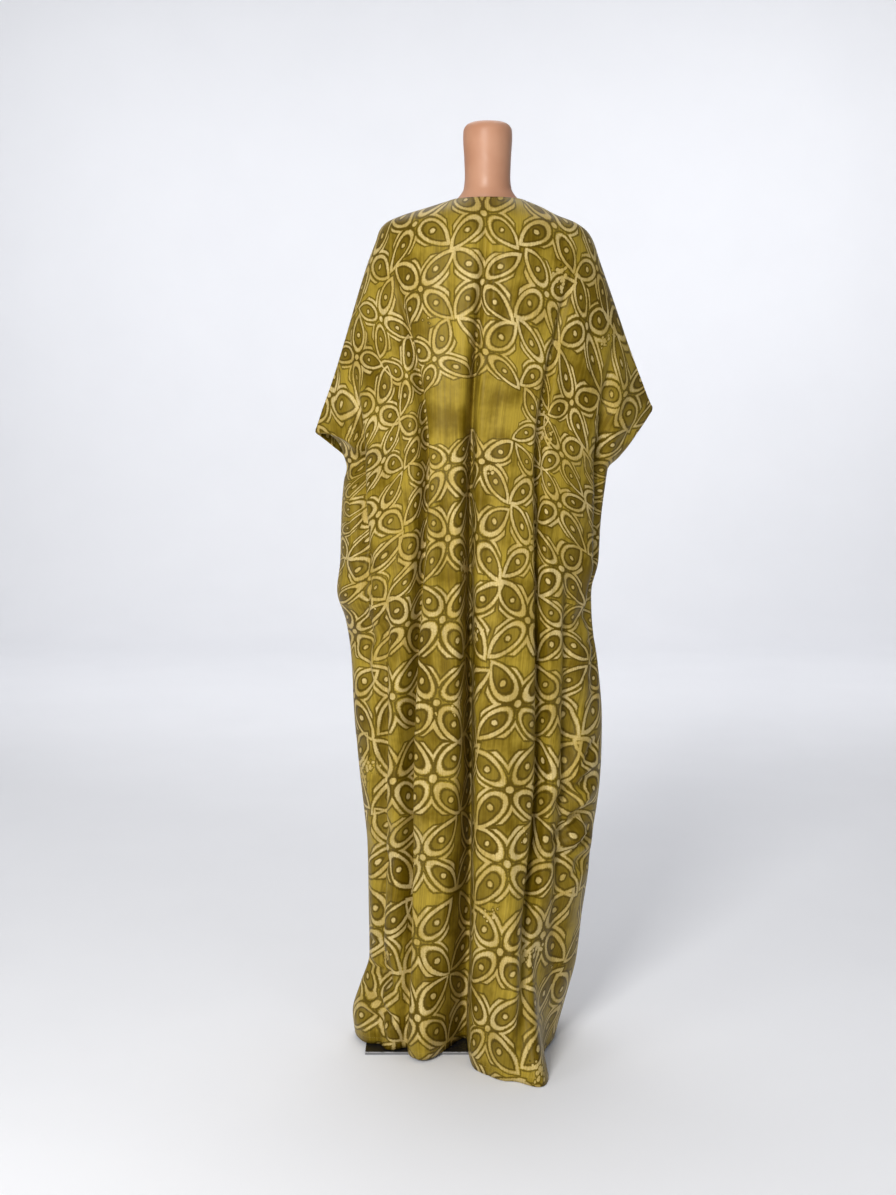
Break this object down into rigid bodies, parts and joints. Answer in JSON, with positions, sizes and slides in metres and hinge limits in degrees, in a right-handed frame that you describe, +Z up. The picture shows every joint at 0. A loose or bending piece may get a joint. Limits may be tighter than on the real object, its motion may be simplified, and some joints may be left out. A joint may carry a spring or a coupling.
{
  "type": "grand boubou robe on a dress form",
  "caption": "Wide floor-length robe of flower-stamped olive batik with open sleeves and a round neck, hanging in deep folds from a limbless dress form on a flat plate.",
  "frame": {"origin": "on the floor under the pole's axis, at the underside of the base plate", "axes": "+Z up, +Y towards the wearer's back, +X towards the wearer's left hand side"},
  "size_m": [0.5912, 0.4532, 1.6165],
  "materials": {
    "cloth": "silky cotton with slub, olive and mustard ground, pale stamped flowers",
    "form": "satin tan glass fibre",
    "pole": "brushed",
    "plate": "black enamel"
  },
  "bodies": {
    "root": {"back_panel": "cloth", "front_panel": "cloth", "dress_form": "form", "stand_pole": "pole", "pole_socket": "pole", "base_plate": "plate"}
  },
  "joints": []
}
